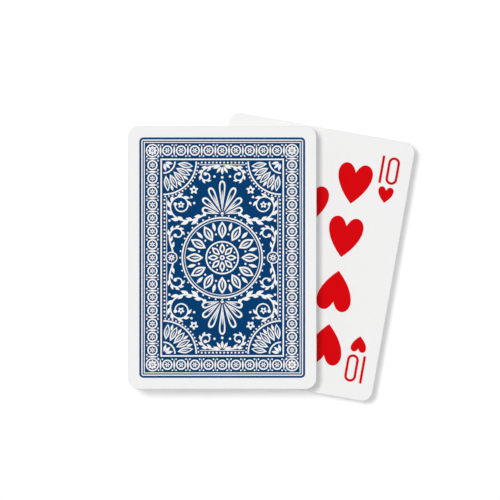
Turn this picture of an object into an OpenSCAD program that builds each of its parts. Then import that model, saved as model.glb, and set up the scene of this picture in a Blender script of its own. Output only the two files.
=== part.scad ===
// A pack of playing cards, cut into two packets. The lower packet lies face up on the table
// with the ten of hearts on top. The upper packet lies face down across it.
// The origin is in the middle of the lowest card's underside, and +Y points to the top of the upper packet.

/* [Card] */
// Width of a card
card_w = 63; // [57:0.5:70]
// Height of a card
card_h = 88; // [84:0.5:100]
// Thickness of the card stock
card_t = 0.28; // [0.24:0.01:0.4]
// Radius of a card's corners
corner_r = 3.5; // [2:0.25:6]

/* [Packets] */
// Number of cards in the lower packet
lower_count = 27; // [2:1:52]
// Air between one card and the next
card_gap = 0.03; // [0.02:0.005:0.08]
// Angle that the lower packet is turned clockwise from the upper packet
packet_turn = 10; // [0:0.5:20]
// Distance that the upper packet's middle lies to the left of the lower packet's
packet_shift = 26.4; // [10:0.2:30]
// Distance that the upper packet's middle lies nearer the bottom of the photo than the lower packet's
packet_drop = 0.2; // [0:0.1:5]
// Most that a card strays sideways from its packet
stray = 0.12; // [0:0.02:0.3]
// Most that a card is turned from its packet, in degrees
stray_turn = 0.12; // [0:0.02:0.3]

/* [Face print] */
// Thickness of the printed ink
ink_t = 0.008; // [0.004:0.001:0.015]
// Width of a large pip
pip_w = 11.6; // [8:0.2:12]
// Height of a large pip
pip_h = 13.6; // [10:0.2:15]
// Distance from the card's side to the middle of an outer column of pips
pip_side = 18.2; // [17:0.1:19]
// Distance from the card's end to the middle of the end row of pips
pip_end = 16.7; // [15:0.1:18]
// Distance from the card's end to the middle of a pip in the middle column
middle_pip_end = 26.2; // [24:0.1:27]
// Width of the small pip under an index
small_pip_w = 5.2; // [4:0.1:6]
// Height of the small pip under an index
small_pip_h = 5.4; // [4:0.1:7]
// Distance from the card's side to the middle of an index
index_side = 7.2; // [6:0.1:8]
// Distance from the card's end to the top of an index
index_end = 5.6; // [4:0.1:7]
// Height of the index figures
index_h = 9.3; // [7:0.1:10]
// Width of the index's nought
nought_w = 4; // [3:0.1:5]
// Stroke of the index figures
index_stroke = 0.75; // [0.5:0.05:1]
// Space between the index figures
figure_space = 1.3; // [0.8:0.1:1.6]
// Space between an index and its small pip
small_pip_space = 0.95; // [0.5:0.05:2]

/* [Back print] */
// Bare margin from the card's edge to the back print
back_margin = 3.7; // [2.5:0.1:5]
// Width of the outline round the back print
outline_w = 0.55; // [0.3:0.05:0.8]
// Bare gap between the outline and the blue field
outline_gap = 0.4; // [0.3:0.05:0.8]
// Radius of the outline's corners
outline_r = 1.4; // [1:0.1:2]
// Width of the border, from the field's edge to the inner frame line
border_w = 6; // [5:0.25:7]
// Width of the bare lines in the back print
line_w = 0.5; // [0.3:0.05:0.7]
// Radius of a ring in the border
ring_r = 1.75; // [1.2:0.05:1.8]
// Distance between rings in the border
ring_pitch = 4.4; // [4.3:0.1:6]
// Radius of the rosette in the middle
rosette_r = 13.4; // [9:0.2:14]
// Number of petals in the rosette's outer row
rosette_petals = 12; // [8:1:16]
// Radius of the fans in the inner corners
fan_r = 11; // [8:0.25:12]
// Length of the tallest petal of a palmette
palmette_h = 10.5; // [7:0.25:12]

/* [Hidden] */
$fn = 64;

ranks = ["ace", "two", "three", "four", "five", "six", "seven", "eight", "nine", "ten", "jack", "queen", "king"];
suits = ["spades", "hearts", "diamonds", "clubs"];
jokers = ["red_joker", "black_joker"];
suit_cards = len(ranks) * len(suits);
card_count = suit_cards + len(jokers);

// Order of the shuffled pack, counted up from the table: every step passes over this many cards of a sorted
// pack, which shares no factor with the number of cards, and the ten of hearts tops the lower packet.
shuffle_step = 17;
shown_card = 1 * len(ranks) + 9;
function card_number(k) =
    (shown_card + shuffle_step * (k - lower_count + 1 + card_count)) % card_count;
function card_name(n) =
    n < suit_cards ? str(ranks[n % len(ranks)], "_of_", suits[floor(n / len(ranks))]) : jokers[n - suit_cards];

card_nodes = [for (k = [0 : card_count - 1]) card_name(card_number(k))];

card_pitch = card_t + card_gap;
top_of_lower = lower_count - 1;
top_of_upper = card_count - 1;

// Half sizes of the blue field and of the panel inside its border
field_inset = back_margin + outline_w + outline_gap;
field_x = card_w / 2 - field_inset;
field_y = card_h / 2 - field_inset;
panel_x = field_x - border_w - line_w;
panel_y = field_y - border_w - line_w;

// A card's place within its packet is 0 for the lowest card. The first and the last card lie true, and those
// between stray in directions a golden angle apart.
golden_angle = 137.5;
function is_upper(k) = k >= lower_count;
function place(k) = is_upper(k) ? k - lower_count : k;
function packet_size(k) = is_upper(k) ? card_count - lower_count : lower_count;
function looseness(k) = packet_size(k) > 1 ? sin(180 * place(k) / (packet_size(k) - 1)) : 0;

// Carries its children to card k of the pack
module on_card(k) {
    slip = stray * looseness(k);
    heading = golden_angle * place(k);
    translate([is_upper(k) ? -packet_shift : 0, is_upper(k) ? -packet_drop : 0, k * card_pitch])
        rotate(is_upper(k) ? 0 : -packet_turn)
            translate([slip * cos(heading), slip * sin(heading), 0])
                rotate(stray_turn * looseness(k) * sin(2 * heading))
                    children();
}

// A rectangle with round corners, about its middle
module rounded_rectangle(w, h, r) {
    square([w - 2 * r, h], center = true);
    square([w, h - 2 * r], center = true);
    for (x = [-1, 1], y = [-1, 1])
        translate([x * (w / 2 - r), y * (h / 2 - r)])
            circle(r);
}

// An upright slot with round ends, about its middle
module upright_slot(w, h) {
    square([w, h - w], center = true);
    for (y = [-1, 1])
        translate([0, y * (h - w) / 2])
            circle(w / 2);
}

// One card
module card(k) {
    color("whitesmoke")
        on_card(k)
            linear_extrude(card_t)
                rounded_rectangle(card_w, card_h, corner_r);
}

// A film of ink on the upper side of card k
module ink_on_card(k) {
    on_card(k)
        translate([0, 0, card_t])
            linear_extrude(ink_t)
                children();
}

function bezier(a, b, c, d, t) =
    pow(1 - t, 3) * a + 3 * pow(1 - t, 2) * t * b + 3 * (1 - t) * t * t * c + pow(t, 3) * d;

// The right half of a heart of unit width and height is three curves: notch to lobe, lobe to side, side to tip.
heart_curves = [
    [[0, 0.28], [0.06, 0.4], [0.14, 0.5], [0.27, 0.5]],
    [[0.27, 0.5], [0.4, 0.5], [0.5, 0.39], [0.5, 0.25]],
    [[0.5, 0.25], [0.5, 0.02], [0.31, -0.25], [0, -0.5]]
];
curve_steps = 7;
heart_half = [for (c = heart_curves, i = [0 : curve_steps - 1]) bezier(c[0], c[1], c[2], c[3], i / curve_steps)];
heart_tip = [0, -0.5];
heart_outline = concat(
    heart_half,
    [heart_tip],
    [for (i = [len(heart_half) - 1 : -1 : 1]) [-heart_half[i][0], heart_half[i][1]]]
);

module heart(w, h) {
    polygon([for (p = heart_outline) [p[0] * w, p[1] * h]]);
}

// The figures of a ten, about their middle
module ten_figures() {
    index_w = index_stroke + figure_space + nought_w;
    translate([(index_stroke - index_w) / 2, 0])
        square([index_stroke, index_h], center = true);
    translate([(index_w - nought_w) / 2, 0])
        difference() {
            upright_slot(nought_w, index_h);
            upright_slot(nought_w - 2 * index_stroke, index_h - 2 * index_stroke);
        }
}

// The upper half of the ten's face: pips in three columns and an index in each corner
module half_of_ten() {
    end_row = card_h / 2 - pip_end;
    for (x = [-1, 1]) {
        for (y = [end_row, end_row / 3])
            translate([x * (card_w / 2 - pip_side), y])
                heart(pip_w, pip_h);
        translate([x * (card_w / 2 - index_side), card_h / 2 - index_end - index_h / 2]) {
            ten_figures();
            translate([0, -(index_h + small_pip_h) / 2 - small_pip_space])
                heart(small_pip_w, small_pip_h);
        }
    }
    translate([0, card_h / 2 - middle_pip_end])
        heart(pip_w, pip_h);
}

// Ink on the face of the ten of hearts
module ten_of_hearts_print() {
    color("crimson")
        ink_on_card(top_of_lower)
            for (turn = [0, 180])
                rotate(turn)
                    half_of_ten();
}

// A bare line in the shape of a ring
module ring_line(r) {
    difference() {
        circle(r + line_w / 2);
        circle(r - line_w / 2);
    }
}

// A pointed leaf along +X from the origin, bounded by two arcs
module leaf(length, w) {
    r = (length * length + w * w) / (4 * w);
    intersection_for (side = [-1, 1])
        translate([length / 2, side * (r - w / 2)])
            circle(r);
}

// A ring of leaves that start at radius r0 and end at r1
module leaf_ring(count, r0, r1, w, first = 0, span = 360) {
    for (i = [0 : count - 1])
        rotate(first + i * span / count)
            translate([r0, 0])
                leaf(r1 - r0, w);
}

// Rings along one side of the border, evenly spread over its length, each with a dot in it
module ring_row(length) {
    count = round(length / ring_pitch);
    for (i = [0 : count - 1])
        translate([(i + 0.5) * length / count - length / 2, 0]) {
            ring_line(ring_r - line_w / 2);
            circle(line_w);
        }
}

// The border's bare pattern: rows of rings, with a rosette in each corner
module border_pattern() {
    mid_x = field_x - border_w / 2;
    mid_y = field_y - border_w / 2;
    corner_rosette = border_w / 2 - 2 * line_w;
    for (turn = [0, 180])
        rotate(turn) {
            translate([0, mid_y])
                ring_row(2 * mid_x - border_w);
            translate([mid_x, 0])
                rotate(90)
                    ring_row(2 * mid_y - border_w);
        }
    for (x = [-1, 1], y = [-1, 1])
        translate([x * mid_x, y * mid_y])
            leaf_ring(8, line_w, corner_rosette, corner_rosette / 2);
}

// The inner frame line
module panel_line() {
    difference() {
        square([2 * (panel_x + line_w), 2 * (panel_y + line_w)], center = true);
        square([2 * panel_x, 2 * panel_y], center = true);
    }
}

// The rosette in the middle of the panel: two rows of petals between rings
module rosette() {
    inner_r = rosette_r * 0.4;
    ring_line(rosette_r);
    ring_line(inner_r);
    leaf_ring(rosette_petals, inner_r + 2 * line_w, rosette_r - 2 * line_w, 2 * PI * inner_r / rosette_petals);
    leaf_ring(8, 2.5 * line_w, inner_r - line_w, inner_r * 0.35);
    circle(1.5 * line_w);
}

// A quarter fan, for the panel's corner at the origin, with its leaves in the first quadrant
module corner_fan() {
    hub_r = fan_r * 0.35;
    leaf_count = 5;
    leaf_step = 90 / leaf_count;
    intersection() {
        square(2 * fan_r);
        union() {
            ring_line(fan_r);
            ring_line(hub_r);
        }
    }
    leaf_ring(leaf_count, hub_r + 2 * line_w, fan_r - 2 * line_w, hub_r * 0.5, leaf_step / 2, 90);
}

// A petal along +X from the origin, with straight sides and a round tip
module petal(length, w) {
    reach = length - w / 2;
    translate([reach, 0])
        circle(w / 2);
    polygon([[0, 0], [reach, -0.46 * w], [reach, 0.46 * w]]);
}

// A palmette of petals that rise from the origin along +Y, the longest in the middle
module palmette() {
    for (i = [-3 : 3])
        rotate(90 + i * 25)
            translate([2 * line_w, 0])
                petal(palmette_h * (1 - 0.14 * abs(i)), palmette_h * 0.2);
}

// Everything that is left bare in the blue field
module back_pattern() {
    border_pattern();
    panel_line();
    rosette();
    for (x = [0, 1], y = [0, 1])
        mirror([x, 0])
            mirror([0, y])
                translate([-panel_x + line_w, -panel_y + line_w])
                    corner_fan();
    for (turn = [0, 180])
        rotate(turn)
            translate([0, rosette_r + 2 * line_w])
                palmette();
}

// Ink on the back of the top card: an outline round a blue field
module top_card_back_print() {
    outline_x = card_w - 2 * back_margin;
    outline_y = card_h - 2 * back_margin;
    color("midnightblue")
        ink_on_card(top_of_upper) {
            difference() {
                rounded_rectangle(outline_x, outline_y, outline_r);
                rounded_rectangle(outline_x - 2 * outline_w, outline_y - 2 * outline_w, outline_r - outline_w);
            }
            difference() {
                square([2 * field_x, 2 * field_y], center = true);
                back_pattern();
            }
        }
}

for (k = [0 : card_count - 1])
    card(k);
ten_of_hearts_print();
top_card_back_print();
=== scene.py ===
import bpy
import numpy as np
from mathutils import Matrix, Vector
from mathutils.geometry import delaunay_2d_cdt


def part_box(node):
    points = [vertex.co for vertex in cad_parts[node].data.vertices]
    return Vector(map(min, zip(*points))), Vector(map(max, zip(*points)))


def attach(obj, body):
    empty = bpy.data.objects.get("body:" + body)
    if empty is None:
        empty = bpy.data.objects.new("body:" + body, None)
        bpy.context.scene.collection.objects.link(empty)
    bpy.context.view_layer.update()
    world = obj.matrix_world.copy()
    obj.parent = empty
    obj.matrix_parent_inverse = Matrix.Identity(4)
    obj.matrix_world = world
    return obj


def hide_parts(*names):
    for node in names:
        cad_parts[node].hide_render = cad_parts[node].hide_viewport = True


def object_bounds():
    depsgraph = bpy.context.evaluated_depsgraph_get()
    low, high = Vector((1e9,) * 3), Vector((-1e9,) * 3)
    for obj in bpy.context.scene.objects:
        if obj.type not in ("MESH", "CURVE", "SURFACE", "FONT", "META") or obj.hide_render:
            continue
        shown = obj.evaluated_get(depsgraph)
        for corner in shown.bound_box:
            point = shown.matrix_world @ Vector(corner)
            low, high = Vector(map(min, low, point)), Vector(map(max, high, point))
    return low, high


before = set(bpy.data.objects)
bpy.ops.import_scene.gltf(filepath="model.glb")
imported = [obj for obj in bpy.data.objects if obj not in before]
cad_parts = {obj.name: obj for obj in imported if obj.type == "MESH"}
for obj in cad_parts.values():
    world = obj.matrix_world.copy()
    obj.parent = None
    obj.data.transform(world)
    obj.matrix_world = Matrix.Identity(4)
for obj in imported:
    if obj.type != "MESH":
        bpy.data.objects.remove(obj)  # one CAD node and one body for each card
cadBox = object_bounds()
scene = bpy.context.scene
scene.view_settings.view_transform = "Standard"

topLow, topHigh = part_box("jack_of_clubs")  # the top card lies square to the frame
cardW, cardH, cardT = [1000 * (high - low) for low, high in zip(topLow, topHigh)]
print("card:", round(cardW, 2), "x", round(cardH, 2), "x", round(cardT, 3), "mm")

# Artwork is drawn in millimetres about a card's middle. It is a list of layers, each an ink and a closed loop
# of points, and a later layer covers an earlier one.
bare, blue, suitInk = 0, 1, 2

# Signs of X and Y for the copies of a part that is mirrored
fourWays = [(1, 1), (-1, 1), (-1, -1), (1, -1)]
upAndDown = [(1, 1), (1, -1)]
leftAndRight = [(1, 1), (-1, 1)]
halfTurn = [(1, 1), (-1, -1)]


def laid(shape, x, y, turn=0.0, scale=1.0):  # scaled, turned by degrees, then moved
    c, s = np.cos(np.radians(turn)), np.sin(np.radians(turn))
    return scale * shape @ np.array([[c, s], [-s, c]]) + (x, y)


def moved(layers, x, y, turn=0.0):  # every layer, turned by degrees and then moved
    return [(ink, laid(shape, x, y, turn)) for ink, shape in layers]


def copies(layers, places):  # all layers once at each place
    return [layer for x, y in places for layer in moved(layers, x, y)]


def spun(layers, turns):  # all layers once for each turn about the origin
    return [layer for turn in turns for layer in moved(layers, 0, 0, turn)]


def repeated(layers, signs):  # each layer, mirrored by every pair of signs
    return [(ink, shape * sign) for ink, shape in layers for sign in signs]


def arc(x, y, rx, ry, start, end, steps=18):  # centre plus the radii times cosine and sine of the angle
    a = np.radians(np.linspace(start, end, steps + 1))
    return np.stack([x + rx * np.cos(a), y + ry * np.sin(a)], 1)


def oval(x, y, rx, ry, steps):  # a full arc without its repeated last point
    return arc(x, y, rx, ry, 0, 360, steps)[:-1]


def disc(r, steps=8, x=0.0, y=0.0):  # an oval with two equal radii
    return oval(x, y, r, r, steps)


def dots(ink, places, r, steps=8):  # a disc at each place
    return [(ink, disc(r, steps, x, y)) for x, y in places]


def boxLoop(x, y):  # corners of a rectangle from its half sizes
    return np.array([[x, y], [-x, y], [-x, -y], [x, -y]], float)


def roundedLoop(w, h, r, steps):  # four corner centres, each plus a quarter circle
    centres = np.repeat(np.array(fourWays, float), steps + 1, axis=0) * (w / 2 - r, h / 2 - r)
    a = np.radians((np.arange(4)[:, None] * 90 + np.linspace(0, 90, steps + 1)).ravel())
    return centres + r * np.stack([np.cos(a), np.sin(a)], 1)


def slotLoop(w, h):  # two half circles joined by straight sides
    r, rise = w / 2, (h - w) / 2
    return np.vstack([arc(0, rise, r, r, 0, 180, 22), arc(0, -rise, r, r, 180, 360, 22)])


def bezier(points, steps):  # cubic blend of four points, without its end
    a, b, c, d = np.array(points, float)[:, None, :]
    t = np.linspace(0, 1, steps, endpoint=False)[:, None]
    return a * (1 - t) ** 3 + 3 * b * t * (1 - t) ** 2 + 3 * c * t * t * (1 - t) + d * t ** 3


def ribbon(path, startWidth, endWidth=None):  # the path offset to both sides by half its width, with mitres
    path = np.asarray(path, float)
    step = np.diff(path, axis=0)
    side = np.stack([-step[:, 1], step[:, 0]], 1) / np.linalg.norm(step, axis=1, keepdims=True)
    before, after = np.vstack([side[:1], side]), np.vstack([side, side[-1:]])
    mitre = (before + after) / (1 + (before * after).sum(1, keepdims=True))
    half = np.linspace(startWidth, endWidth or startWidth, len(path))[:, None] / 2
    return np.vstack([path + half * mitre, (path - half * mitre)[::-1]])


def leaf(start, end, width, bend=0.0, steps=8):  # along X; half width is a sine of the way, spine its square
    s = np.linspace(0, 1, steps + 1)
    x = start + (end - start) * s
    spine = bend * (end - start) * s ** 2
    half = width / 2 * np.sin(np.pi * s)
    return np.vstack([np.stack([x, spine - half], 1), np.stack([x, spine + half], 1)[-2:0:-1]])


def petal(start, end, width, steps=9):  # along X; half width grows evenly and closes in a round tip
    s = np.sin(np.linspace(0, np.pi / 2, steps + 1))
    x = start + (end - start) * s
    half = width / 1.42 * s * np.sqrt(1 - s ** 7)  # the divisor brings the widest place to the width
    return np.vstack([np.stack([x, -half], 1), np.stack([x, half], 1)[-2:0:-1]])


# Shares of a veined leaf's length and width
veins = {
    "coreStart": 0.16, "coreTip": 0.3, "coreWidth": 0.54,
    "ribStart": 0.2, "ribTip": 0.3, "ribWidth": 0.18,
}


def veined(shape, start, end, width):  # along X: a bare leaf or petal with a blue core and a bare rib
    v, span = veins, end - start
    core = shape(start + v["coreStart"] * span, end - v["coreTip"] * width, v["coreWidth"] * width)
    rib = leaf(start + v["ribStart"] * span, end - v["ribTip"] * span, v["ribWidth"] * width, steps=4)
    return [(bare, shape(start, end, width)), (blue, core), (bare, rib)]


def flower(r, depth, petals, steps=4):  # polar curve: radius less a cosine of petals times the angle
    a = np.linspace(0, 2 * np.pi, petals * steps, endpoint=False)
    reach = r * (1 - depth / 2 + depth / 2 * np.cos(petals * a))
    return np.stack([reach * np.cos(a), reach * np.sin(a)], 1)


def star(r, inner, points):  # radius alternates between tips and hollows, first tip upwards
    a = np.radians(90 + np.arange(2 * points) * 180 / points)
    reach = np.where(np.arange(2 * points) % 2, inner, r)
    return np.stack([reach * np.cos(a), reach * np.sin(a)], 1)


def curl(x, y, heading, length, bend, tight, steps=48):  # bend, in degrees a mm, changes evenly to tight
    s = (np.arange(steps) + 0.5) / steps
    way = np.radians(heading + length * (bend * s + (tight - bend) * s ** 2 / 2))
    return np.cumsum(np.vstack([[(x, y)], length / steps * np.stack([np.cos(way), np.sin(way)], 1)]), axis=0)


def frameLine(x, y, width):  # a bare rectangle with a smaller blue one over it
    return [(bare, boxLoop(x, y)), (blue, boxLoop(x - width, y - width))]


def ringLine(r, width, steps):  # a bare disc with a smaller blue one over it
    return [(bare, disc(r + width / 2, steps)), (blue, disc(r - width / 2, steps))]


# Back print: an outline, a border of rings, and a panel with a rosette, palmettes, corner fans and scrolls
backPrint = {
    "margin": 3.7, "outline": 0.7, "outlineRound": 1.4, "gap": 0.4, "line": 0.5, "fineLine": 0.24,
    "panelLine": 1.45, "bead": 0.32, "beadPitch": 1.25, "beadInset": 0.85,
    "dot": 0.3, "dotSpace": 0.72, "ground": 1.15,  # dots outside a ring, and the blue ground that they need
    "pendant": (0.6, 3.3, 0.9), "pendantTurns": (202, 338, 236, 304, 270), "pendantInset": 1.6,
    "sideRing": (1.85, 0.36), "sideFlower": (1.35, 0.6, 8), "sideEye": 0.34, "sidePlace": 17.0,
}

borderPrint = {
    "width": 6.0, "middle": 3.3, "cornerRoom": 5.4, "edgeInset": 0.42, "edgeLine": 0.3,
    "ring": 1.75, "pitch": 4.4, "flowerGap": 0.22, "flowerDepth": 0.62, "flowerEye": 0.24,
    "dart": (-2.0, 2.0, 0.62), "bud": 0.29, "budPlace": (0.64, 1.85),
    "cornerRing": (2.0, 0.45), "cornerLeaf": (0.4, 1.62, 0.8), "cornerLeaves": 8,
}


def borderRow(length):  # along X: rings with a flower in each, and a dart with four buds between rings
    b, line = borderPrint, backPrint["line"]
    count = round(length / b["pitch"])
    pitch = length / count
    ring = ringLine(b["ring"] - line / 2, line, 20)
    ring += [(bare, flower(b["ring"] - line - b["flowerGap"], b["flowerDepth"], 6))]
    ring += [(blue, disc(b["flowerEye"], 6))]
    dart = [(bare, laid(leaf(*b["dart"], steps=6), 0, 0, 90))]
    dart += dots(bare, np.array(fourWays) * b["budPlace"], b["bud"])
    rings = [(x, 0) for x in (np.arange(count) + 0.5) * pitch - length / 2]
    darts = [(x, 0) for x in np.arange(count + 1) * pitch - length / 2]
    return copies(ring, rings) + copies(dart, darts)


def borderLayers(fieldX, fieldY):
    b = borderPrint
    midX, midY = fieldX - b["middle"], fieldY - b["middle"]
    across = moved(borderRow(2 * midX - b["cornerRoom"]), 0, midY)
    along = moved(borderRow(2 * midY - b["cornerRoom"]), 0, midX)
    leafTurns = np.arange(b["cornerLeaves"]) * 360 / b["cornerLeaves"]
    corner = ringLine(*b["cornerRing"], 24) + spun([(bare, leaf(*b["cornerLeaf"], steps=6))], leafTurns)
    corner += [(bare, disc(backPrint["dot"]))]
    layers = frameLine(fieldX - b["edgeInset"], fieldY - b["edgeInset"], b["edgeLine"])
    layers += spun(across, (0, 180)) + spun(along, (90, 270))
    return layers + copies(corner, np.array(fourWays) * (midX, midY))


def beadRow(panelX, panelY):  # discs in a row round the panel's edge
    b = backPrint
    x, y = panelX - b["beadInset"], panelY - b["beadInset"]
    across, along = [round(2 * size / b["beadPitch"]) for size in (x, y)]
    ends = [(px, side * y) for px in np.linspace(-x, x, across + 1) for side in (1, -1)]
    sides = [(side * x, py) for py in np.linspace(-y, y, along + 1)[1:-1] for side in (1, -1)]
    return dots(bare, ends + sides, b["bead"])


# A leaf's two ends are given as distances from the hub's and the outer ring's line, or from the middle
rosettePrint = {
    "radius": 13.4, "hub": 0.4, "dots": 40, "innerLine": 0.85,
    "petals": 12, "petal": (1.0, 1.25, 2.9), "tipLeaf": (4.3, 1.25, 1.1), "tipDot": (2.7, 0.36),
    "hubLeaves": 8, "hubLeaf": (1.2, 0.5, 1.9), "hubCore": (1.9, 1.3, 0.8), "hubDot": 0.95,
    "eye": [(0.85, 12, bare), (0.36, 8, blue)],
}


def rosetteLayers():
    b, p = backPrint, rosettePrint
    r, hub = p["radius"], p["hub"] * p["radius"]
    petalTurns = np.arange(p["petals"]) * 360 / p["petals"]
    leafTurns = np.arange(p["hubLeaves"]) * 360 / p["hubLeaves"]
    petalStart, petalEnd, petalWidth = p["petal"]
    tipStart, tipEnd, tipWidth = p["tipLeaf"]
    dotPlace, dotSize = p["tipDot"]
    betweenPetals = [(bare, leaf(r - tipStart, r - tipEnd, tipWidth))]
    betweenPetals += dots(bare, [(hub + dotPlace, 0)], dotSize)
    hubLeaf = [(ink, leaf(start, hub - end, width))
               for ink, (start, end, width) in ((bare, p["hubLeaf"]), (blue, p["hubCore"]))]
    layers = [(blue, disc(r + b["ground"], 48))]
    layers += spun(dots(bare, [(r + b["dotSpace"], 0)], b["dot"]), np.arange(p["dots"]) * 360 / p["dots"])
    layers += ringLine(r, b["line"], 64) + ringLine(r - p["innerLine"], b["fineLine"], 64)
    layers += spun(veined(leaf, hub + petalStart, r - petalEnd, petalWidth), petalTurns)
    layers += spun(betweenPetals, petalTurns + 180 / p["petals"])
    layers += ringLine(hub, b["line"], 40) + spun(hubLeaf, leafTurns)
    layers += spun(dots(bare, [(hub - p["hubDot"], 0)], b["dot"]), leafTurns + 180 / p["hubLeaves"])
    return layers + [(ink, disc(size, steps)) for size, steps, ink in p["eye"]]


fanPrint = {
    "radius": 11.0, "hub": 0.35, "strip": 0.47, "dotTurns": (3, 87, 15),
    "leaves": 5, "leaf": (0.9, 0.9, 2.0), "tipLeaf": (3.0, 0.7, 0.85),
    "hubLeaf": (0.7, 0.6, 0.95), "hubTurns": (14, 45, 76),
}


def quarter(r, strip=0.0):  # a quarter disc about a corner, with a strip of its ground to the sides
    corner = [[-strip, r], [-strip, -strip], [r, -strip]] if strip else [[0, 0]]
    return np.vstack([arc(0, 0, r, r, 0, 90, 20), corner])


def fanLayers():  # about the panel's corner, with its leaves in the first quadrant
    b, p = backPrint, fanPrint
    r, hub, half = p["radius"], p["hub"] * p["radius"], b["line"] / 2
    turns = (np.arange(p["leaves"]) + 0.5) * 90 / p["leaves"]
    start, end, width = p["leaf"]
    tipStart, tipEnd, tipWidth = p["tipLeaf"]
    hubStart, hubEnd, hubWidth = p["hubLeaf"]
    layers = [(blue, quarter(r + b["ground"], p["strip"]))]
    layers += [(bare, quarter(r + half)), (blue, quarter(r - half))]
    layers += spun(dots(bare, [(r + b["dotSpace"], 0)], b["dot"]), np.linspace(*p["dotTurns"]))
    layers += spun(veined(leaf, hub + start, r - end, width), turns)
    layers += spun([(bare, leaf(r - tipStart, r - tipEnd, tipWidth))], turns[1:] - turns[0])
    layers += [(bare, quarter(hub + half)), (blue, quarter(hub - half))]
    return layers + spun([(bare, leaf(hubStart, hub - hubEnd, hubWidth, steps=6))], p["hubTurns"])


palmettePrint = {
    "length": 10.5, "width": 0.21, "start": 1.0, "side": 3, "spread": 25, "shorter": 0.14,
    "root": (0.3, 0.55), "tip": (2.0, 0.46),
}


def palmetteLayers(foot):  # petals that rise from the panel's axis, longest in the middle
    p = palmettePrint
    length, start = p["length"], p["start"]
    rootRise, rootSize = p["root"]
    tipRise, tipSize = p["tip"]
    layers = dots(bare, [(0, foot + rootRise)], rootSize, 10)
    for i in range(-p["side"], p["side"] + 1):
        reach = start + length * (1 - p["shorter"] * abs(i))
        layers += moved(veined(petal, start, reach, p["width"] * length), 0, foot, 90 + p["spread"] * i)
    return layers + dots(bare, [(0, foot + length + tipRise)], tipSize)


scrollPrint = {
    "stem": 0.55, "taper": 0.75, "knob": 0.6, "leafBend": -0.007, "leafScale": (1.1, -0.5),
    # stems: root, heading, length, and bend at the root and at the tip
    "stems": {
        "large": (5.9, 14.5, -32, 31, 2, 30),
        "side": (16.5, 1.8, 80, 15.4, -8, 52),
        "upper": (1.3, 30.8, -10, 14, 6, -60),
    },
    # leaves: stem, places as shares of it, length, width, and how far they lean off it
    "leaves": [
        ("large", (0.1, 0.2, 0.3, 0.39, 0.47, 0.55, 0.62, 0.69, 0.76), 2.9, 1.25, -38),
        ("large", (0.06, 0.16, 0.26), 2.2, 1.0, 40),
        ("side", (0.4, 0.5, 0.6, 0.69, 0.78), 2.2, 1.05, -40),
        ("side", (0.12, 0.26), 1.9, 0.95, 62),
        ("upper", (0.28, 0.42, 0.54, 0.65, 0.75), 2.0, 1.0, 40),
        ("upper", (0.2,), 1.8, 0.9, -62),
    ],
    "flowers": [(13.83, 17.74, 1.2), (9.5, 22.7, 1.5)], "bloom": (0.46, 5, 6), "flowerEye": 0.29,
    "buds": [(9.4, 18.3), (10.3, 20.3), (2.6, 27.2), (17.7, 12.4)], "bud": 0.42,
}


def sprouts(path, places, length, width, lean):  # a leaf at each share of the path, leaning off its direction
    p = scrollPrint
    at = (np.asarray(places) * (len(path) - 2)).astype(int)
    ways = np.degrees(np.arctan2(*(path[at + 1] - path[at]).T[::-1]))
    shape = leaf(-0.1, length, width, p["leafBend"] * lean)
    rootScale, change = p["leafScale"]
    return [(bare, laid(shape, *path[i], way + lean, rootScale + change * share))
            for i, way, share in zip(at, ways, places)]


def scrollLayers():  # one quarter of the scrolls, with leaves off the stems
    p = scrollPrint
    stems = {name: curl(*values) for name, values in p["stems"].items()}
    layers = []
    for name, *leaves in p["leaves"]:
        layers += sprouts(stems[name], *leaves)
    layers += [(bare, ribbon(path, p["stem"], p["taper"] * p["stem"])) for path in stems.values()]
    layers += dots(bare, [path[-1] for path in stems.values()] + [stems["large"][0]], p["knob"], 10)
    for x, y, r in p["flowers"]:
        bloom = [(bare, flower(r, *p["bloom"])), (blue, disc(p["flowerEye"] * r))]
        layers += moved(bloom, x, y, 90)
    return layers + dots(bare, p["buds"], p["bud"])


def backLayers():
    b = backPrint
    outX, outY = cardW / 2 - b["margin"], cardH / 2 - b["margin"]
    inX, inY = outX - b["outline"], outY - b["outline"]
    fieldX, fieldY = inX - b["gap"], inY - b["gap"]
    lineX, lineY = fieldX - borderPrint["width"], fieldY - borderPrint["width"]
    panelX, panelY = lineX - b["line"], lineY - b["line"]
    layers = [(blue, roundedLoop(2 * outX, 2 * outY, b["outlineRound"], 5)),
              (bare, roundedLoop(2 * inX, 2 * inY, b["outlineRound"] - b["outline"], 5)),
              (blue, boxLoop(fieldX, fieldY))]
    layers += borderLayers(fieldX, fieldY) + frameLine(lineX, lineY, b["line"]) + beadRow(panelX, panelY)
    layers += frameLine(panelX - b["panelLine"], panelY - b["panelLine"], b["fineLine"])
    layers += repeated(scrollLayers(), fourWays)
    layers += repeated(palmetteLayers(rosettePrint["radius"] + 2 * b["line"]), upAndDown)
    pendant = spun([(bare, leaf(*b["pendant"]))], b["pendantTurns"])
    layers += repeated(moved(pendant, 0, panelY - b["pendantInset"]), upAndDown) + rosetteLayers()
    side = ringLine(*b["sideRing"], 20) + [(bare, flower(*b["sideFlower"])), (blue, disc(b["sideEye"]))]
    layers += repeated(moved(side, b["sidePlace"], 0), leftAndRight)
    corner = (panelX - b["line"], panelY - b["line"])
    fan = [(ink, corner - shape) for ink, shape in fanLayers()]
    return layers + repeated(fan, fourWays)


# Face print: pips in columns, and a narrow index over a small pip in each corner
facePrint = {
    "pip": (11.6, 13.6), "columns": 13.3, "endRow": 27.3, "middleRow": 17.8, "acePip": 2.0,
    "indexSide": 7.2, "indexEnd": 5.6, "indexHeight": 9.3, "figureWidth": 4.0, "stroke": 0.87,
    "figureSpace": 1.3, "smallPip": (5.2, 5.4), "smallPipSpace": 0.95, "jokerStar": (3.2, 1.3, 5),
}

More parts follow.
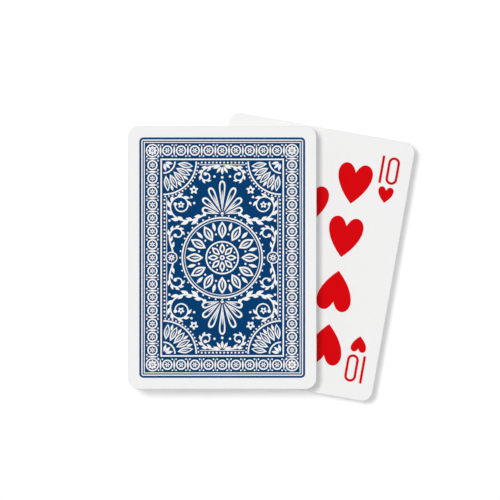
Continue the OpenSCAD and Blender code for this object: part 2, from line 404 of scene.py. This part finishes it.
# Suit shapes of about unit width and height, from half outlines that are mirrored
halfHeart = np.vstack([
    bezier([(0, 0.28), (0.06, 0.4), (0.14, 0.5), (0.27, 0.5)], 14),
    bezier([(0.27, 0.5), (0.4, 0.5), (0.5, 0.39), (0.5, 0.25)], 14),
    bezier([(0.5, 0.25), (0.5, 0.02), (0.31, -0.25), (0, -0.5)], 14),
])
heart = np.vstack([halfHeart, [[0, -0.5]], halfHeart[:0:-1] * (-1, 1)])
diamondSide = bezier([(0, 0.5), (0.1, 0.3), (0.26, 0.1), (0.44, 0)], 6)
diamondBack = np.vstack([[[0.44, 0]], diamondSide[:0:-1]])
diamond = np.vstack([diamondSide, diamondBack * (1, -1), diamondSide * (-1, -1), diamondBack * (-1, 1)])
stalkSide = bezier([(0.02, 0.0), (0.03, -0.25), (0.08, -0.42), (0.22, -0.5)], 6)
stalk = np.vstack([stalkSide, [[0.22, -0.5], [-0.22, -0.5]], stalkSide[::-1] * (-1, 1)])
lobes = [disc(0.24, 40, x, y) for x, y in ((0, 0.26), (-0.26, -0.09), (0.26, -0.09))]
suitShapes = {
    "hearts": [heart],
    "diamonds": [diamond],
    "spades": [heart * (1, -0.82) + (0, 0.09), stalk],
    "clubs": lobes + [disc(0.1, 8, 0, 0.02), stalk],
}
redSuits = ("hearts", "diamonds")

# Index figures on a square of side 1: open strokes, and ovals given by their middle and radii
figures = {
    "ace": ([[(0, 0), (0.46, 1)], [(0.54, 1), (1, 0)], [(0.17, 0.32), (0.83, 0.32)]], []),
    "two": ([np.vstack([arc(0.5, 0.76, 0.5, 0.24, 170, -25), [(0, 0), (1, 0)]])], []),
    "three": ([arc(0.46, 0.77, 0.45, 0.23, 160, -90), arc(0.46, 0.27, 0.54, 0.27, 90, -160)], []),
    "four": ([[(0.74, 0), (0.74, 1)], [(0.74, 1), (0, 0.3), (1, 0.3)]], []),
    "five": ([np.vstack([[(0.92, 1), (0.12, 1), (0.05, 0.55)], arc(0.48, 0.31, 0.52, 0.31, 130, -155)])], []),
    "six": ([arc(1.0, 0.28, 1.0, 0.72, 96, 180)], [(0.5, 0.28, 0.5, 0.28)]),
    "seven": ([[(0, 1), (1, 1), (0.34, 0)]], []),
    "eight": ([], [(0.5, 0.77, 0.42, 0.23), (0.5, 0.27, 0.5, 0.27)]),
    "nine": ([arc(0.0, 0.72, 1.0, 0.72, -84, 0)], [(0.5, 0.72, 0.5, 0.28)]),
    "jack": ([np.vstack([[(1, 1)], arc(0.5, 0.24, 0.5, 0.24, 0, -165)])], []),
    "queen": ([[(0.52, 0.24), (1.06, -0.06)]], [(0.5, 0.5, 0.5, 0.5)]),
    "king": ([[(0, 0), (0, 1)], [(1, 1), (0.04, 0.4)], [(0.34, 0.6), (1, 0)]], []),
}


def pip(suit, x, y, size, turn=0):
    return [(suitInk, laid(shape * size, x, y, turn)) for shape in suitShapes[suit]]


def figureLayers(rank):
    f = facePrint
    w, h, stroke = f["figureWidth"], f["indexHeight"], f["stroke"]
    if rank == "ten":
        whole = stroke + f["figureSpace"] + w
        one = [(suitInk, boxLoop(stroke / 2, h / 2))]
        nought = [(suitInk, slotLoop(w, h)), (bare, slotLoop(w - 2 * stroke, h - 2 * stroke))]
        return moved(one, (stroke - whole) / 2, 0) + moved(nought, (whole - w) / 2, 0)
    strokes, ovals = figures[rank]
    size = np.array([w - stroke, h - stroke])
    layers = []
    for x, y, rx, ry in ovals:
        middle, radii = (np.array([x, y]) - 0.5) * size, np.array([rx, ry]) * size
        layers += [(suitInk, oval(*middle, *(radii + stroke / 2), 44))]
        layers += [(bare, oval(*middle, *(radii - stroke / 2), 44))]
    return layers + [(suitInk, ribbon((np.asarray(path) - 0.5) * size, stroke)) for path in strokes]


def indexLayers(rank, suit):  # upright in the two upper corners, turned over in the lower ones
    f = facePrint
    x, y = cardW / 2 - f["indexSide"], cardH / 2 - f["indexEnd"] - f["indexHeight"] / 2
    down = (f["indexHeight"] + f["smallPip"][1]) / 2 + f["smallPipSpace"]
    if suit is None:
        corner = [(suitInk, star(*f["jokerStar"]))]
    else:
        corner = figureLayers(rank) + pip(suit, 0, -down, f["smallPip"])
    return repeated(copies(corner, [(-x, y), (x, y)]), halfTurn)


def pipPlaces(rank):  # columns and rows of the usual pip layouts
    f = facePrint
    x, end, third, half, middle = f["columns"], f["endRow"], f["endRow"] / 3, f["endRow"] / 2, f["middleRow"]
    corners = [(i * x, j * end) for i, j in fourWays]
    inner = [(i * x, j * third) for i, j in fourWays]
    sides = [(x, 0), (-x, 0)]
    return {
        "two": [(0, end), (0, -end)],
        "three": [(0, end), (0, 0), (0, -end)],
        "four": corners,
        "five": corners + [(0, 0)],
        "six": corners + sides,
        "seven": corners + sides + [(0, half)],
        "eight": corners + sides + [(0, half), (0, -half)],
        "nine": corners + inner + [(0, 0)],
        "ten": corners + inner + [(0, middle), (0, -middle)],
    }[rank]


# Court print, for half of a card: two crossed staves, a shield with the suit's pip, and headgear over it
courtPrint = {
    "frame": (18.9, 36.4), "frameLines": [(0, blue), (0.35, bare), (0.8, blue), (1.0, bare)],
    "bandLine": (17.9, 0.16), "bandLineRise": 3.3, "bandPip": (5.2, 5.6), "bandPitch": 5.0, "bandSide": 3,
    "staveFoot": (-14.6, 6.2), "staveTurn": 29.5, "staveLength": 34.0,
    "shield": (8.8, 19.6, 4.4), "shieldLines": [(0, blue), (0.5, bare), (0.95, suitInk)],
    "shieldPip": (8.2, 9.2), "shieldPipRise": 13.2,
    "headBand": (8.6, 1.0), "headStripe": (8.0, 0.28), "headRise": 22.2,
    "corner": (14.0, 30.6), "cornerPip": (6.2, 7.2), "cornerFlower": (2.3, 0.5, 8), "cornerEye": 0.8,
}


def shieldLoop(inset):  # a straight top, and two sides that bend in to a tip
    w, top, tip = np.array(courtPrint["shield"]) + (-inset, -inset, 1.3 * inset)
    side = bezier([(w, top), (w, top - 7), (0.62 * w, tip + 3.2), (0, tip)], 18)
    return np.vstack([side, [(0, tip)], side[::-1] * (-1, 1)])


def swordLayers(end):  # along X from its knob: a grip, a guard, and a blade with a groove
    blade = np.array([(4.2, -0.6), (end - 2, -0.6), (end, 0), (end - 2, 0.6), (4.2, 0.6)])
    groove = boxLoop(end / 2 - 4.5, 0.12) + (end / 2 + 1.2, 0)
    grip, guard = boxLoop(1.9, 0.45) + (2.2, 0), boxLoop(0.5, 2.1) + (4.2, 0)
    return [(blue, blade), (bare, groove), (suitInk, grip), (suitInk, guard), (suitInk, disc(1.0, 12))]


def roseLayers(end):  # along X from its root: a stem with four leaves, and a bloom of four rings
    sprigs = [(2, 40), (4, -40), (end - 8, 42), (end - 6.5, -42)]
    rings = [(3.0, suitInk), (2.1, bare), (1.6, suitInk), (0.6, bare)]
    layers = [(blue, ribbon([(0, 0), (end, 0)], 0.6))]
    layers += [(blue, laid(leaf(0, 3.6, 1.6), x, 0, turn)) for x, turn in sprigs]
    return layers + moved([(ink, flower(r, 0.3, 5, 8)) for r, ink in rings], end - 1.5, 0)


def arrowLayers(end):  # along X from its foot: two pairs of feathers, a shaft, and a head with a slit
    feathers = [(suitInk, laid(leaf(0, 4.2, 1.5), x, 0, turn)) for x in (3.6, 5.4) for turn in (152, 208)]
    shaft = ribbon([(0.4, 0), (end - 3, 0)], 0.75)
    head, slit = leaf(end - 6, end, 3.0), leaf(end - 5, end - 1.4, 0.6)
    return feathers + [(blue, shaft), (suitInk, head), (bare, slit)]


def crownLayers():  # above its band's middle: four tips with beads, one jewel over them and three in them
    half = [(7.2, 0.6), (9.2, 8.3), (4.9, 4.6), (3.8, 10.2)]
    tips = np.vstack([half, [(0, 5.4)], np.array(half[::-1]) * (-1, 1)])
    layers = [(suitInk, tips)] + dots(blue, tips[1:-1:2], 0.95, 12)
    layers += [(blue, diamond * (2.6, 3.6) + (0, 8.9))]
    return layers + copies([(bare, diamond * (2.0, 2.8))], [(-4, 2.6), (0, 2.6), (4, 2.6)])


def coronetLayers():  # above its band's middle: three rings, a bead over each, and two beads between them
    ring = [(ink, disc(r, 36)) for r, ink in ((3.1, suitInk), (2.0, bare), (1.1, blue))]
    ring += dots(blue, [(0, 4.2)], 0.9, 12)
    layers = copies(ring, [(-5.6, 4.1), (0, 4.1), (5.6, 4.1)])
    return layers + dots(suitInk, [(-2.8, 6.6), (2.8, 6.6)], 0.7, 10)


def capLayers():  # above its band's middle: half an oval, and a feather
    feather = [(blue, leaf(0, 13, 3.4, 0.2, 18)), (bare, leaf(0.8, 11.4, 0.5, 0.2, 18))]
    return [(suitInk, arc(0, 0, 8.2, 6.6, 0, 180, 32))] + moved(feather, -3, 4.2, 22)


courts = {
    "king": (swordLayers, crownLayers),
    "queen": (roseLayers, coronetLayers),
    "jack": (arrowLayers, capLayers),
}


def courtLayers(rank, suit):
    c = courtPrint
    stave, headgear = courts[rank]
    frameX, frameY = c["frame"]
    x, y = c["corner"]
    layers = [(ink, boxLoop(frameX - inset, frameY - inset)) for inset, ink in c["frameLines"]]
    for i in range(-c["bandSide"], c["bandSide"] + 1):
        layers += [((blue, suitInk)[i % 2], diamond * c["bandPip"] + (i * c["bandPitch"], 0))]
    half = [(blue, boxLoop(*c["bandLine"]) + (0, c["bandLineRise"]))]
    half += repeated(moved(stave(c["staveLength"]), *c["staveFoot"], c["staveTurn"]), leftAndRight)
    half += [(ink, shieldLoop(inset)) for inset, ink in c["shieldLines"]]
    half += [(bare, shape) for ink, shape in pip(suit, 0, c["shieldPipRise"], c["shieldPip"])]
    band = [(blue, boxLoop(*c["headBand"])), (bare, boxLoop(*c["headStripe"]))]
    half += moved(headgear() + band, 0, c["headRise"])
    flowerLayers = [(blue, flower(*c["cornerFlower"])), (bare, disc(c["cornerEye"], 10))]
    half += pip(suit, -x, y, c["cornerPip"]) + moved(flowerLayers, x, y)
    return layers + repeated(half, halfTurn)


# Joker print: a cap with three horns and bells, over a sun wheel
jokerPrint = {
    "wheelRise": -9.0, "rays": (15.5, 11.5, 16), "wheelRings": [(10.6, bare), (10.0, blue), (9.4, bare)],
    "wheelStar": (8.4, 4.6, 8), "wheelEye": [(2.6, 36, bare), (1.6, 28, blue)],
    "horn": [(-4.5, 3), (-5, 18), (-16, 22), (-17, 6)], "hornWidth": (9.0, 1.6), "hornBell": (-17, 5),
    "peak": [(0, 4), (0.2, 14), (0, 24)], "peakWidth": (9.5, 1.4), "peakBell": (0, 25.5), "bell": 1.7,
    "band": (10.5, 1.5), "bandStripe": (9.9, 0.5), "bandRise": 4.0,
}


def jokerLayers():
    j = jokerPrint
    wheel = [(suitInk, star(*j["rays"]))] + [(ink, disc(r, 72)) for r, ink in j["wheelRings"]]
    wheel += [(suitInk, star(*j["wheelStar"]))] + [(ink, disc(r, steps)) for r, steps, ink in j["wheelEye"]]
    horn = np.vstack([bezier(j["horn"], 24), j["horn"][-1:]])
    side = [(suitInk, ribbon(horn, *j["hornWidth"]))] + dots(blue, [j["hornBell"]], j["bell"], 28)
    peak = [(blue, ribbon(j["peak"], *j["peakWidth"]))] + dots(suitInk, [j["peakBell"]], j["bell"], 28)
    band = [(blue, boxLoop(*j["band"])), (bare, boxLoop(*j["bandStripe"]))]
    cap = repeated(side, leftAndRight) + peak + moved(band, 0, j["bandRise"])
    return moved(wheel, 0, j["wheelRise"]) + cap


def faceLayers(name):
    if "joker" in name:
        return jokerLayers() + indexLayers(None, None)
    rank, suit = name.split("_of_")
    size = np.array(facePrint["pip"])
    if rank in courts:
        middle = courtLayers(rank, suit)
    elif rank == "ace":
        middle = pip(suit, 0, 0, size * facePrint["acePip"])
    else:
        middle = [layer for x, y in pipPlaces(rank) for layer in pip(suit, x, y, size, 180 if y < 0 else 0)]
    return middle + indexLayers(rank, suit)


# Card shape: two printed sheets joined by a rim whose cut edges are slightly rounded
cardShape = {
    "cornerRadius": 3.5, "cornerSteps": 11, "edgeRound": 0.07, "mergeWithin": 0.0001,
    # rows from the upper sheet to the lower one: inset and rise in units of the rounding, and 1 for the top
    "rimRows": [(0.29, -0.29, 1), (0, -1, 1), (0, 1, 0), (0.29, 0.29, 0)],
}
cornerPoints = cardShape["cornerSteps"] + 1
rimCount = 4 * cornerPoints
mirrorRim = (2 * cornerPoints - 1 - np.arange(rimCount)) % rimCount  # each rim point's mirror image across Y


def rimLoop(inset):
    s = cardShape
    return roundedLoop(cardW - 2 * inset, cardH - 2 * inset, s["cornerRadius"] - inset, s["cornerSteps"])


def signedArea(loop):  # half the sum of each point's cross product with the next
    x, y = loop.T
    return (x * np.roll(y, -1) - y * np.roll(x, -1)).sum() / 2


def printedSheet(layers):  # the sheet is cut along all loops, and a triangle takes the ink of its last layer
    loops = [rimLoop(cardShape["edgeRound"])] + [np.asarray(shape, float) for ink, shape in layers]
    loops = [loop if signedArea(loop) > 0 else loop[::-1] for loop in loops]
    inks = np.array([bare] + [ink for ink, shape in layers])
    ends = np.cumsum([len(loop) for loop in loops])
    faces = [list(range(end - len(loop), end)) for loop, end in zip(loops, ends)]
    cut = delaunay_2d_cdt(np.vstack(loops).tolist(), [], faces, 1, cardShape["mergeWithin"])
    points, _, tris, origins, _, covers = cut
    firstPoint = {old: new for new, olds in enumerate(origins) for old in olds}
    rim = np.array([firstPoint[i] for i in range(rimCount)])
    return np.array(points), np.array(tris), inks[[max(cover) for cover in covers]], rim


backSheet = printedSheet(backLayers())
print("back sheet:", len(backSheet[0]), "points,", len(backSheet[1]), "triangles")

# Finishes: coated white stock, and three inks under the same varnish
finish = {
    "stock": (0.845, 0.845, 0.845, 1), "stockShade": (0.82, 0.82, 0.815, 1), "stockRoughness": (0.46, 0.58),
    # cut edge: greyer than the sheets, partly the paper's own tone and partly painted shade of the gaps
    # between cards
    "cutEdgeAndGapShade": (0.7, 0.695, 0.68, 1), "core": (0.38, 0.39, 0.41, 1), "coreShare": 0.08,
    "blue": (0.0, 0.0425, 0.146, 1), "red": (0.645, 0.001, 0.0035, 1), "black": (0.008, 0.008, 0.009, 1),
    "inkRoughness": (0.5, 0.62), "linenPitch": 0.62, "linenDepth": 0.000008, "specular": 0.12,
    "pulpScale": 0.9, "pulpDetail": 6.0, "patchScale": 0.25, "patchDetail": 5.0, "patchRange": (0.3, 0.7),
}


def newGroup(name, values, output):  # a group that takes the place on the card and some values
    group = bpy.data.node_groups.new(name, "ShaderNodeTree")
    group.interface.new_socket("Place", in_out="INPUT", socket_type="NodeSocketVector")
    for label in values:
        group.interface.new_socket(label, in_out="INPUT", socket_type="NodeSocketFloat")
    group.interface.new_socket(output, in_out="OUTPUT", socket_type="NodeSocketFloat")
    return group, group.nodes.new("NodeGroupInput").outputs, group.nodes.new("NodeGroupOutput").inputs


def node(tree, kind, inputs, **settings):  # a new node, with its settings and its inputs' values or links
    made = tree.nodes.new(kind)
    for name, value in settings.items():
        setattr(made, name, value)
    for name, value in inputs.items():
        if isinstance(value, bpy.types.NodeSocket):
            tree.links.new(value, made.inputs[name])
        else:
            made.inputs[name].default_value = value
    return made


def mathNode(tree, operation, *values):
    return node(tree, "ShaderNodeMath", dict(enumerate(values)), operation=operation).outputs[0]


def colourMix(tree, factor, first, second):
    inputs = {"Factor": factor, "A": first, "B": second}
    return node(tree, "ShaderNodeMix", inputs, data_type="RGBA").outputs["Result"]


# Linen emboss: height is a sine across the card times a sine along it
linen, linenIn, linenOut = newGroup("linenEmboss", ["Pitch"], "Height")
axes = node(linen, "ShaderNodeSeparateXYZ", {"Vector": linenIn["Place"]}).outputs
turns = mathNode(linen, "DIVIDE", 2 * np.pi, linenIn["Pitch"])
waves = [mathNode(linen, "SINE", mathNode(linen, "MULTIPLY", axes[axis], turns)) for axis in "XY"]
linen.links.new(mathNode(linen, "MULTIPLY", *waves), linenOut["Height"])

# Varnish: roughness wanders between two values in soft patches with a fine grain
varnish, varnishIn, varnishOut = newGroup("varnish", ["Low", "High"], "Roughness")
patches = node(varnish, "ShaderNodeTexNoise", {
    "Vector": varnishIn["Place"], "Scale": finish["patchScale"], "Detail": finish["patchDetail"],
})
spread = node(varnish, "ShaderNodeMapRange", {
    "Value": patches.outputs["Fac"], "From Min": finish["patchRange"][0], "From Max": finish["patchRange"][1],
    "To Min": varnishIn["Low"], "To Max": varnishIn["High"],
})
varnish.links.new(spread.outputs["Result"], varnishOut["Roughness"])


def cardMaterial(name, colour, roughness):
    material = bpy.data.materials.new(name)
    material.use_nodes = True
    material.diffuse_color = colour
    tree = material.node_tree
    shader = next(n for n in tree.nodes if n.type == "BSDF_PRINCIPLED")
    place = node(tree, "ShaderNodeAttribute", {}, attribute_name="cardPlace").outputs["Vector"]
    low, high = roughness
    gloss = node(tree, "ShaderNodeGroup", {"Place": place, "Low": low, "High": high}, node_tree=varnish)
    emboss = node(tree, "ShaderNodeGroup", {"Place": place, "Pitch": finish["linenPitch"]}, node_tree=linen)
    relief = {"Distance": finish["linenDepth"], "Height": emboss.outputs["Height"]}
    bump = node(tree, "ShaderNodeBump", relief)
    shader.inputs["Base Color"].default_value = colour
    shader.inputs["Specular IOR Level"].default_value = finish["specular"]
    tree.links.new(gloss.outputs["Roughness"], shader.inputs["Roughness"])
    tree.links.new(bump.outputs["Normal"], shader.inputs["Normal"])
    return material, shader, place


# Stock: faint cloudiness of the pulp on the sheets, and on the rim the cut edge with a darker core line;
# the cut edge's grey is partly the paper's own tone and partly painted shade of the gaps between stacked
# cards
stock, stockShader, stockPlace = cardMaterial("cardStock", finish["stock"], finish["stockRoughness"])
tree = stock.node_tree
pulp = node(tree, "ShaderNodeTexNoise", {
    "Vector": stockPlace, "Scale": finish["pulpScale"], "Detail": finish["pulpDetail"],
})
level = node(tree, "ShaderNodeSeparateXYZ", {"Vector": stockPlace}).outputs["Z"]
offCore = mathNode(tree, "ABSOLUTE", mathNode(tree, "SUBTRACT", level, cardT / 2))
coreLine = mathNode(tree, "LESS_THAN", offCore, finish["coreShare"] * cardT)
onRim = node(tree, "ShaderNodeAttribute", {}, attribute_name="rim").outputs["Fac"]
sheetColour = colourMix(tree, pulp.outputs["Fac"], finish["stock"], finish["stockShade"])
edgeAndGapShadeColour = colourMix(tree, coreLine, finish["cutEdgeAndGapShade"], finish["core"])
tree.links.new(colourMix(tree, onRim, sheetColour, edgeAndGapShadeColour), stockShader.inputs["Base Color"])

blueInk = cardMaterial("blueInk", finish["blue"], finish["inkRoughness"])[0]
redInk = cardMaterial("redInk", finish["red"], finish["inkRoughness"])[0]
blackInk = cardMaterial("blackInk", finish["black"], finish["inkRoughness"])[0]
print("materials:", stock.name, blueInk.name, redInk.name, blackInk.name)

# Map for baking, in millimetres: cells for the paper and the blue of either sheet and for the suit's ink, so
# that no colour runs into another, and one for the rim in four strips, each a corner and the side after it
bakeMap = {
    "width": 195.0, "cell": (65.0, 97.5), "columns": 3, "upperCells": (0, 2, 4), "lowerCells": (1, 3, 4),
    "rimStart": (132.0, 98.5), "rimScale": 0.7, "stripPitch": 24.0,
    "rowRises": (0, 1, 2, 20, 21, 22),  # the wall between the rounded edges is drawn tall
}


def sheetMap(points, tris, cells):  # for each corner of the triangles: place on the sheet plus cell's middle
    m = bakeMap
    column, row = np.repeat(cells, 3) % m["columns"], np.repeat(cells, 3) // m["columns"]
    return points[tris.ravel(), :2] + (np.stack([column, row], 1) + 0.5) * m["cell"]


def rimMap():  # for each corner of the rim's quads: run along the outline from the strip's start, and row
    m, bands = bakeMap, len(cardShape["rimRows"]) + 1
    outline = rimLoop(0)
    run = np.cumsum(np.linalg.norm(np.diff(outline, axis=0, append=outline[:1]), axis=1))
    run = np.concatenate([[0], run])
    column = np.tile(np.arange(rimCount), bands)[:, None]
    strip = column // cornerPoints
    along = run[column + (0, 1, 1, 0)] - run[strip * cornerPoints]
    row = np.repeat(np.arange(bands), rimCount)[:, None] + (1, 1, 0, 0)
    level = m["stripPitch"] * strip + np.array(m["rowRises"])[row]
    return np.stack([m["rimScale"] * along, level], -1).reshape(-1, 2) + m["rimStart"]


def cardMesh(name, upper, lower):  # two sheets, the lower one mirrored, and quads between the rim's rows
    upPoints, upTris, upInks, upRim = upper
    downPoints, downTris, downInks, downRim = lower
    ups, downs, r = len(upPoints), len(downPoints), cardShape["edgeRound"]
    rows = [np.column_stack([rimLoop(inset * r), np.full(rimCount, rise * r + top * cardT)])
            for inset, rise, top in cardShape["rimRows"]]
    upSheet = np.column_stack([upPoints, np.full(ups, cardT)])
    downSheet = np.column_stack([downPoints * (-1, 1), np.zeros(downs)])
    points = np.vstack([upSheet, downSheet, *rows])
    rowPoints = ups + downs + np.arange(len(rows) * rimCount).reshape(len(rows), rimCount)
    ring = np.vstack([upRim, rowPoints, ups + downRim[mirrorRim]])
    ahead = np.roll(ring, -1, axis=1)
    quads = np.stack([ring[1:], ahead[1:], ahead[:-1], ring[:-1]], -1).reshape(-1, 4)
    tris = np.vstack([upTris, downTris + ups])
    inks = np.concatenate([upInks, downInks, np.full(len(quads), bare)])
    onCut = np.repeat([inset == 0 for inset, rise, top in cardShape["rimRows"]], rimCount)
    cells = np.append(np.take(bakeMap["upperCells"], upInks), np.take(bakeMap["lowerCells"], downInks))
    uv = np.vstack([sheetMap(points, tris, cells), rimMap()]) / bakeMap["width"]
    mesh = bpy.data.meshes.new(name)
    mesh.from_pydata(points, [], tris.tolist() + quads.tolist())
    mesh.polygons.foreach_set("material_index", inks)
    mesh.polygons.foreach_set("use_smooth", np.arange(len(inks)) >= len(tris))
    mesh.attributes.new("cardPlace", "FLOAT_VECTOR", "POINT").data.foreach_set("vector", points.ravel())
    rim = mesh.attributes.new("rim", "FLOAT", "POINT")
    rim.data.foreach_set("value", np.concatenate([np.zeros(ups + downs), onCut]))
    mesh.uv_layers.new(name="OFBake").data.foreach_set("uv", uv.ravel())
    return mesh, points


def cardPose(cad):  # turn from the normal of the largest upright wall, middle and height from the box
    faces = cad.data.polygons
    normals, sizes = np.empty(3 * len(faces)), np.empty(len(faces))
    faces.foreach_get("normal", normals)
    faces.foreach_get("area", sizes)
    normals = normals.reshape(-1, 3)
    wall = normals[np.argmax(np.where(np.abs(normals[:, 2]) < 0.1, sizes, 0))]
    wall = wall if wall[0] > 0 else -wall
    low, high = [np.array(corner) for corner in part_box(cad.name)]
    return np.degrees(np.arctan2(wall[1], wall[0])), (low + high)[:2] / 2, low[2]


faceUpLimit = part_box("ten_of_hearts")[1][2] + 1e-5  # cards up to the ten of hearts lie face up
inkFilms = {"ten_of_hearts": ["ten_of_hearts_print"], "jack_of_clubs": ["top_card_back_print"]}
cards = {}
for name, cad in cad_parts.items():
    if name.endswith("_print"):
        continue
    faceSheet = printedSheet(faceLayers(name))
    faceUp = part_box(name)[1][2] < faceUpLimit
    upper, lower = (faceSheet, backSheet) if faceUp else (backSheet, faceSheet)
    mesh, points = cardMesh(name + "_card", upper, lower)
    turn, middle, height = cardPose(cad)
    placed = np.column_stack([laid(points[:, :2], 0, 0, turn) / 1000 + middle, points[:, 2] / 1000 + height])
    mesh.vertices.foreach_set("co", placed.ravel())
    red = "red" in name or name.split("_of_")[-1] in redSuits
    for material in (stock, blueInk, redInk if red else blackInk):
        mesh.materials.append(material)
    mesh.update()
    card = bpy.data.objects.new(name + "_card", mesh)
    scene.collection.objects.link(card)
    cards[name] = card
    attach(card, name)
    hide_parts(name, *inkFilms.get(name, []))
print("cards:", len(cards), "pieces,", sum(len(card.data.polygons) for card in cards.values()), "faces")

# Stage: a pale floor, a lamp from the upper left that throws the soft shadows, a lamp from straight above,
# and a grey sky that is dim overhead
stage = {
    "floorHalf": 5.0, "floorDrop": 0.00005, "floorColour": (0.96, 0.96, 0.96, 1), "floorRoughness": 0.9,
    "lens": 1000.0, "sensor": 36.0, "viewMiddle": (-17.09, 2.36), "viewWidth": 167.6, "clip": (0.1, 100.0),
    "keyLean": (11.5, -8.0), "keySpread": 13.0, "keyShare": 0.46, "topSpread": 2.0, "topShare": 0.258,
    "sky": [(0.0, 0.46), (0.75, 0.42), (0.97, 0.1)],  # height on a sphere of radius 1, and level
}
floorLoop = boxLoop(stage["floorHalf"], stage["floorHalf"])
floorMesh = bpy.data.meshes.new("floor")
floorMesh.from_pydata(np.column_stack([floorLoop, np.full(4, -stage["floorDrop"])]), [], [[0, 1, 2, 3]])
floor = bpy.data.objects.new("floor", floorMesh)
scene.collection.objects.link(floor)
floorPaint = bpy.data.materials.new("floorPaint")
floorPaint.use_nodes = True
floorShader = next(n for n in floorPaint.node_tree.nodes if n.type == "BSDF_PRINCIPLED")
floorShader.inputs["Base Color"].default_value = stage["floorColour"]
floorShader.inputs["Roughness"].default_value = stage["floorRoughness"]
floorShader.inputs["Specular IOR Level"].default_value = 0.0
floorMesh.materials.append(floorPaint)


def lamp(name, share, direction, spread):  # a sun whose light on a level surface is this share of plain white
    aim = Vector(direction).normalized()
    light = bpy.data.lights.new(name, "SUN")
    light.energy = share * np.pi / -aim.z
    light.angle = np.radians(spread)
    lampObject = bpy.data.objects.new(name, light)
    lampObject.rotation_euler = aim.to_track_quat("-Z", "Y").to_euler()
    lampObject.location = -aim
    lampObject.visible_glossy = False  # no hot spot on the varnish
    scene.collection.objects.link(lampObject)


lamp("keyLamp", stage["keyShare"], (*np.tan(np.radians(stage["keyLean"])), -1), stage["keySpread"])
lamp("topLamp", stage["topShare"], (0, 0, -1), stage["topSpread"])

world = bpy.data.worlds.new("studio")
world.use_nodes = True
scene.world = world
sky = world.node_tree
skyPlace = node(sky, "ShaderNodeTexCoord", {}).outputs["Generated"]
skyHeight = node(sky, "ShaderNodeSeparateXYZ", {"Vector": skyPlace}).outputs["Z"]
skyRamp = node(sky, "ShaderNodeValToRGB", {"Fac": skyHeight})
skyRamp.color_ramp.elements.new(0.5)
for element, (rise, level) in zip(skyRamp.color_ramp.elements, stage["sky"]):
    element.position = rise
    element.color = (level, level, level, 1)
background = next(n for n in sky.nodes if n.type == "BACKGROUND")
sky.links.new(skyRamp.outputs["Color"], background.inputs["Color"])

optics = bpy.data.cameras.new("camera")
optics.lens = stage["lens"]
optics.sensor_width = stage["sensor"]
optics.clip_start, optics.clip_end = stage["clip"]
distance = stage["viewWidth"] / 1000 * stage["lens"] / stage["sensor"]
camera = bpy.data.objects.new("camera", optics)
viewX, viewY = stage["viewMiddle"]
camera.location = (viewX / 1000, viewY / 1000, distance + cadBox[1][2])
scene.collection.objects.link(camera)
scene.camera = camera
print("stage: camera", round(distance, 3), "m above the top card")
